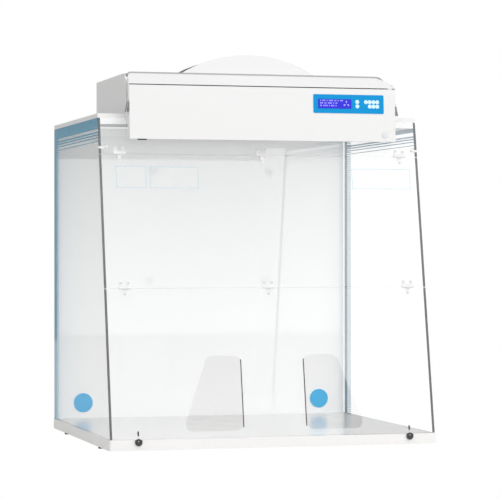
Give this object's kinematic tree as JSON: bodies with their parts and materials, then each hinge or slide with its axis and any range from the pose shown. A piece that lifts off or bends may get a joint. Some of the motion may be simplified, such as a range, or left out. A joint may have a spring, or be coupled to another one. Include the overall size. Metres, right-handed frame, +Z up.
{
  "type": "ductless fume hood",
  "caption": "Bench ductless fume hood: clear cabinet on a tray, slanted folding front with arm ports, roof filter housing with swinging control cover and arched exhaust.",
  "frame": {"origin": "under the middle of the hood's overall box, on the plane of the feet", "axes": "+X across to the hood's right as one faces it, +Y from the front to the back, +Z up"},
  "size_m": [1.2, 1.0614, 1.422],
  "materials": {
    "white_powder": "smooth white powder coat",
    "dark_powder": "dark grey powder coat",
    "clear_acrylic": "clear polished sheet",
    "milky_acrylic": "glossy pale sheet",
    "black_rubber": "matt black",
    "grey_rubber": "matt grey",
    "blue_plastic": "satin light blue",
    "white_plastic": "satin white",
    "grey_plastic": "matt dark grey",
    "black_plastic": "matt black",
    "bright_steel": "bright zinc",
    "zinc_steel": "zinc plated sheet",
    "chrome_plate": "polished",
    "aluminium_frame": "satin",
    "keypad_film": "satin blue film",
    "display_glass": "glossy deep blue",
    "key_plastic": "satin pale blue",
    "filter_cloth": "pleated pale grey cloth",
    "filter_paper": "pleated white paper",
    "lamp_plastic": "frosted white"
  },
  "bodies": {
    "cabinet": {"back_panel": "milky_acrylic", "base_feet": "black_rubber", "base_tray": "white_powder", "corner_clips": "white_plastic", "exhaust_back_plate": "white_powder", "exhaust_front_plate": "white_powder", "exhaust_grille": "dark_powder", "fan_motor": "aluminium_frame", "fan_plate": "zinc_steel", "filter_frame": "aluminium_frame", "filter_housing": "white_powder", "filter_paper": "filter_paper", "front_frame": "white_powder", "left_side_panel": "clear_acrylic", "lock_strike": "zinc_steel", "motor_bracket": "zinc_steel", "pivot_ears": "bright_steel", "power_inlet": "black_plastic", "prefilter": "filter_cloth", "ridge_trim": "grey_rubber", "right_side_panel": "clear_acrylic", "roof_lamp": "lamp_plastic", "roof_tray": "white_powder", "top_cap": "white_powder", "turning_screws": "bright_steel", "upper_hinge_leaves": "white_plastic", "upper_hinge_pins": "bright_steel", "upper_visor": "clear_acrylic", "visor_seals": "black_rubber"},
    "middle_front": {"middle_panel": "clear_acrylic", "middle_panel_seals": "black_rubber", "upper_hinge_flaps": "white_plastic", "lower_hinge_leaves": "white_plastic", "lower_hinge_pins": "bright_steel"},
    "lower_front": {"lower_panel": "clear_acrylic", "lower_panel_seals": "black_rubber", "lower_hinge_flaps": "white_plastic", "panel_keepers": "grey_plastic"},
    "cover": {"control_cover": "white_powder", "keypad_plate": "keypad_film", "display_window": "display_glass", "control_box": "grey_plastic", "cover_bumpers": "grey_rubber", "cover_pull": "black_rubber"},
    "lock": {"cam_lock": "chrome_plate"},
    "fan": {"fan_impeller": "black_plastic"},
    "left_catch_button": {"left_catch": "grey_plastic"},
    "right_catch_button": {"right_catch": "grey_plastic"},
    "left_plug": {"left_port_plug": "blue_plastic"},
    "right_plug": {"right_port_plug": "blue_plastic"},
    "key_lower_2_cap": {"key_lower_2": "key_plastic"},
    "key_lower_3_cap": {"key_lower_3": "key_plastic"},
    "key_lower_4_cap": {"key_lower_4": "key_plastic"},
    "key_lower_single_cap": {"key_lower_single": "key_plastic"},
    "key_upper_1_cap": {"key_upper_1": "key_plastic"},
    "key_upper_2_cap": {"key_upper_2": "key_plastic"},
    "key_upper_3_cap": {"key_upper_3": "key_plastic"},
    "key_upper_4_cap": {"key_upper_4": "key_plastic"},
    "key_upper_single_cap": {"key_upper_single": "key_plastic"}
  },
  "joints": [
    {"name": "middle_panel_hinge", "type": "hinge", "parent": "cabinet", "child": "middle_front", "pos_m": [0, -0.34247, 1.04663], "axis": [-1, 0, 0], "range_deg": [0, 105]},
    {"name": "lower_panel_hinge", "type": "hinge", "parent": "middle_front", "child": "lower_front", "pos_m": [0, -0.43057, 0.57071], "axis": [-1, 0, 0], "range_deg": [0, 130]},
    {"name": "cover_hinge", "type": "hinge", "parent": "cabinet", "child": "cover", "pos_m": [0, -0.36465, 1.23677], "axis": [-1, 0, 0], "range_deg": [0, 58]},
    {"name": "cam_lock_turn", "type": "hinge", "parent": "cover", "child": "lock", "pos_m": [0.456, -0.37985, 1.12396], "axis": [0, -0.9983, 0.0576], "range_deg": [-90, 0]},
    {"name": "fan_spin", "type": "hinge", "parent": "cabinet", "child": "fan", "pos_m": [0, -0.07235, 1.29], "axis": [0, 0, 1], "continuous": true},
    {"name": "left_catch_turn", "type": "hinge", "parent": "cabinet", "child": "left_catch_button", "pos_m": [-0.498, -0.52815, 0.0405], "axis": [0, 1, 0], "range_deg": [0, 180]},
    {"name": "right_catch_turn", "type": "hinge", "parent": "cabinet", "child": "right_catch_button", "pos_m": [0.498, -0.52815, 0.0405], "axis": [0, 1, 0], "range_deg": [0, 180]},
    {"name": "left_plug_pull", "type": "slide", "parent": "cabinet", "child": "left_plug", "axis": [0, -1, 0], "range_m": [0, 0.05]},
    {"name": "right_plug_pull", "type": "slide", "parent": "cabinet", "child": "right_plug", "axis": [0, -1, 0], "range_m": [0, 0.05]},
    {"name": "key_lower_2_press", "type": "slide", "parent": "cover", "child": "key_lower_2_cap", "axis": [0, 0.9983, -0.0576], "range_m": [0, 0.0006], "stiffness_N_per_m": 400},
    {"name": "key_lower_3_press", "type": "slide", "parent": "cover", "child": "key_lower_3_cap", "axis": [0, 0.9983, -0.0576], "range_m": [0, 0.0006], "stiffness_N_per_m": 400},
    {"name": "key_lower_4_press", "type": "slide", "parent": "cover", "child": "key_lower_4_cap", "axis": [0, 0.9983, -0.0576], "range_m": [0, 0.0006], "stiffness_N_per_m": 400},
    {"name": "key_lower_single_press", "type": "slide", "parent": "cover", "child": "key_lower_single_cap", "axis": [0, 0.9983, -0.0576], "range_m": [0, 0.0006], "stiffness_N_per_m": 400},
    {"name": "key_upper_1_press", "type": "slide", "parent": "cover", "child": "key_upper_1_cap", "axis": [0, 0.9983, -0.0576], "range_m": [0, 0.0006], "stiffness_N_per_m": 400},
    {"name": "key_upper_2_press", "type": "slide", "parent": "cover", "child": "key_upper_2_cap", "axis": [0, 0.9983, -0.0576], "range_m": [0, 0.0006], "stiffness_N_per_m": 400},
    {"name": "key_upper_3_press", "type": "slide", "parent": "cover", "child": "key_upper_3_cap", "axis": [0, 0.9983, -0.0576], "range_m": [0, 0.0006], "stiffness_N_per_m": 400},
    {"name": "key_upper_4_press", "type": "slide", "parent": "cover", "child": "key_upper_4_cap", "axis": [0, 0.9983, -0.0576], "range_m": [0, 0.0006], "stiffness_N_per_m": 400},
    {"name": "key_upper_single_press", "type": "slide", "parent": "cover", "child": "key_upper_single_cap", "axis": [0, 0.9983, -0.0576], "range_m": [0, 0.0006], "stiffness_N_per_m": 400}
  ]
}
